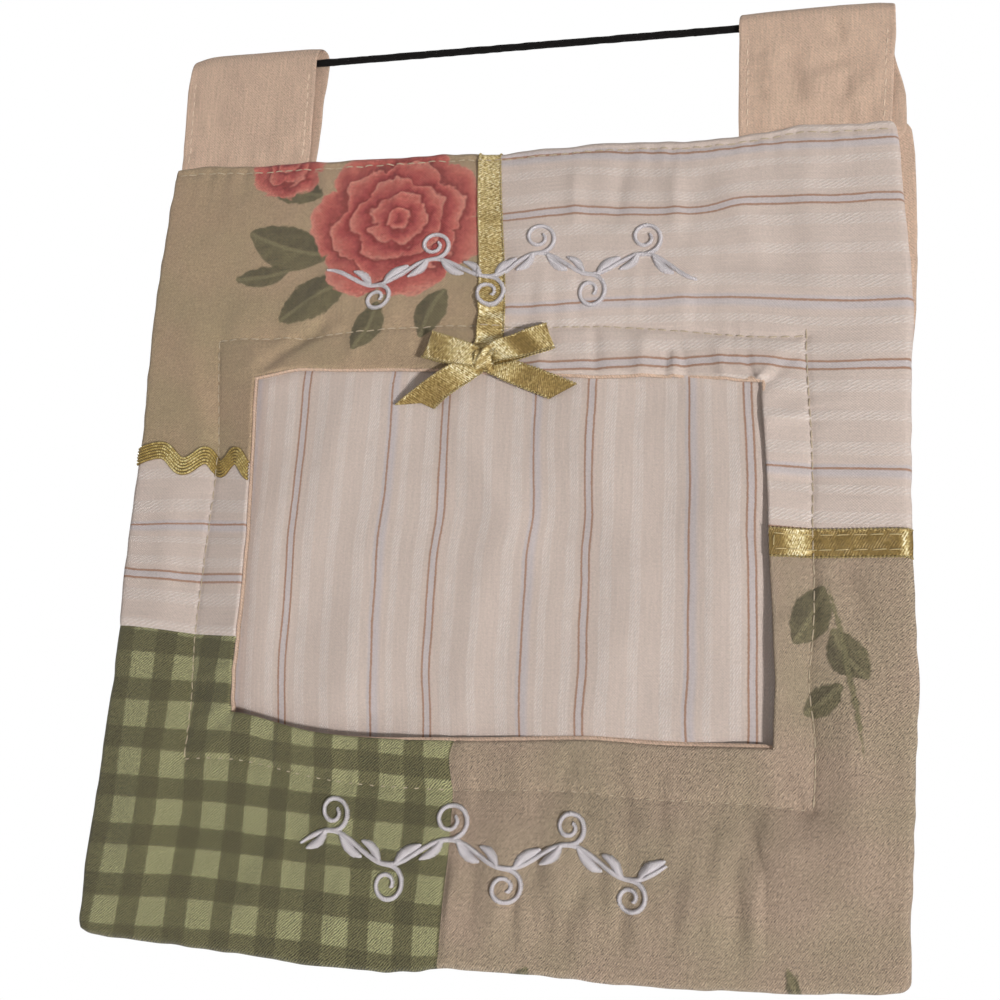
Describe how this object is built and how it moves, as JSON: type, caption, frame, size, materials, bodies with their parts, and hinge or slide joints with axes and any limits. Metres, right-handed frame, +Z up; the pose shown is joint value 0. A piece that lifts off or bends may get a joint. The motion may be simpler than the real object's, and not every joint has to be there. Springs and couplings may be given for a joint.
{
  "type": "wall photo holder",
  "caption": "Patchwork cloth panel with a window for a print, hung from a thin rod through fabric tabs, trimmed with ribbon, wavy braid and a bow.",
  "frame": {"origin": "on the hanging rod's axis, half way along it, where a wall hook carries the holder", "axes": "+X to the viewer's right, +Y towards the wall, +Z up; the front of the panel faces -Y"},
  "size_m": [0.205, 0.0121, 0.2501],
  "materials": {
    "tan_cotton": "matte printed cotton, tan ground",
    "stripe_cotton": "matte woven cotton, pale with rust stripes",
    "gingham_cotton": "matte woven cotton, olive check",
    "peach_cotton": "matte plain cotton",
    "gold_satin": "satin ribbon with a soft sheen",
    "gold_braid": "metallic-look braid",
    "cream_thread": "cotton sewing thread",
    "white_thread": "satin-stitch thread",
    "black_paint": "thin matte black paint"
  },
  "bodies": {
    "rod": {"hanging_rod": "black_paint"},
    "panel": {"tab_left": "peach_cotton", "tab_right": "peach_cotton", "tab_left_stitch_left": "cream_thread", "tab_left_stitch_right": "cream_thread", "tab_right_stitch_left": "cream_thread", "tab_right_stitch_right": "cream_thread", "patch_rose": "tan_cotton", "patch_stripe_right": "stripe_cotton", "patch_stripe_left": "stripe_cotton", "patch_gingham": "gingham_cotton", "patch_tan": "tan_cotton", "window_facing": "peach_cotton", "photo_backing": "stripe_cotton", "back_panel": "peach_cotton", "ribbon_upright": "gold_satin", "ribbon_level": "gold_satin", "rick_rack": "gold_braid", "ribbon_stitch_upper": "cream_thread", "ribbon_stitch_lower": "cream_thread", "bow_knot": "gold_satin", "bow_loop_left": "gold_satin", "bow_loop_right": "gold_satin", "bow_tail_left": "gold_satin", "bow_tail_right": "gold_satin", "top_edge_stitch": "cream_thread", "window_stitch_top": "cream_thread", "window_stitch_right": "cream_thread", "window_stitch_bottom": "cream_thread", "window_stitch_left": "cream_thread", "embroidery_upper": "white_thread", "embroidery_lower": "white_thread"}
  },
  "joints": [
    {"name": "panel_swing", "type": "hinge", "parent": "rod", "child": "panel", "pos_m": [0, 0, 0], "axis": [-1, 0, 0], "range_deg": [0, 90]}
  ]
}
